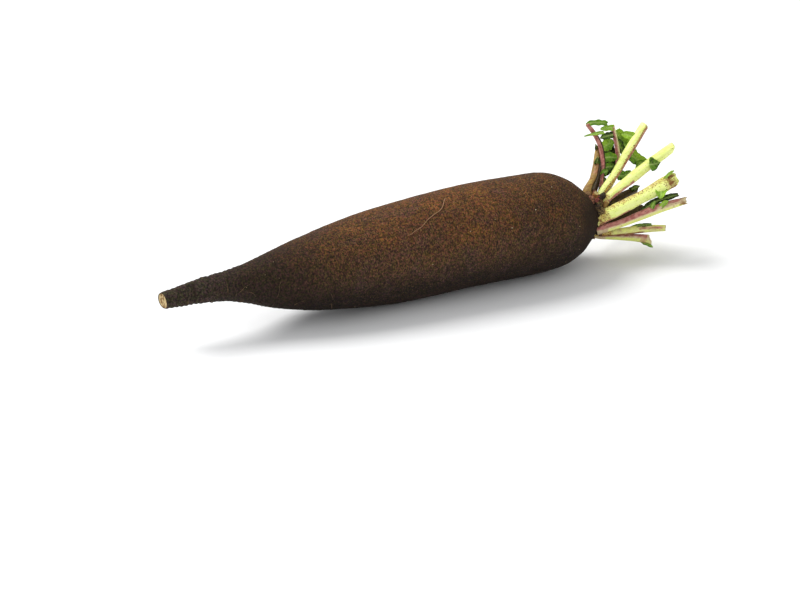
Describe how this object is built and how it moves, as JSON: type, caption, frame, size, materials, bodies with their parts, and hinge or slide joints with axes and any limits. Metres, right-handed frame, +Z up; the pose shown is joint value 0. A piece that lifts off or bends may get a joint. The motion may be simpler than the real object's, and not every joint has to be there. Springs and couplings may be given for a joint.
{
  "type": "black radish",
  "caption": "Long black radish as picked, lying on its side: dark rough root with a cut tail, and a crown of short cut leaf stalks that carry scraps of green leaf.",
  "frame": {"origin": "middle of the small flat on the root's underside, on which the radish lies", "axes": "+X runs along the root from the cut tail to the leaf stalks, +Z is up, and +Y points away from the side that the picture shows"},
  "size_m": [0.2855, 0.0533, 0.0679],
  "materials": {
    "skin": "matt, rough, near-black brown skin",
    "pale": "smooth fresh stalk, pale yellow-green",
    "purple": "smooth fresh stalk, purple-pink over pale green",
    "olive": "dull dark olive stalk",
    "dry": "dry fibrous stalk, brown",
    "leaf": "satin green leaf"
  },
  "bodies": {
    "root": {"root": "skin", "stalk_01": "dry", "stalk_02": "purple", "stalk_03": "purple", "stalk_04": "pale", "stalk_05": "pale", "stalk_06": "pale", "stalk_07": "purple", "stalk_08": "purple", "stalk_09": "purple", "stalk_10": "olive", "stalk_11": "olive", "stalk_12": "dry", "stalk_13": "pale", "stub_01": "dry", "stub_02": "dry", "leaf_01a": "leaf", "leaf_01b": "leaf", "leaf_02a": "leaf", "leaf_02b": "leaf", "leaf_02c": "leaf", "leaf_02d": "leaf", "leaf_02e": "leaf", "leaf_02f": "leaf", "leaf_02g": "leaf", "leaf_03a": "leaf", "leaf_03b": "leaf", "leaf_03c": "leaf", "leaf_03d": "leaf", "leaf_04a": "leaf", "leaf_04b": "leaf", "leaf_05a": "leaf", "leaf_05b": "leaf", "leaf_06a": "leaf", "leaf_06b": "leaf", "leaf_07a": "leaf", "leaf_07b": "leaf", "leaf_07c": "leaf", "leaf_08a": "leaf", "leaf_09a": "leaf", "leaf_10a": "leaf", "leaf_10b": "leaf", "leaf_12a": "leaf", "leaf_13a": "leaf"}
  },
  "joints": []
}
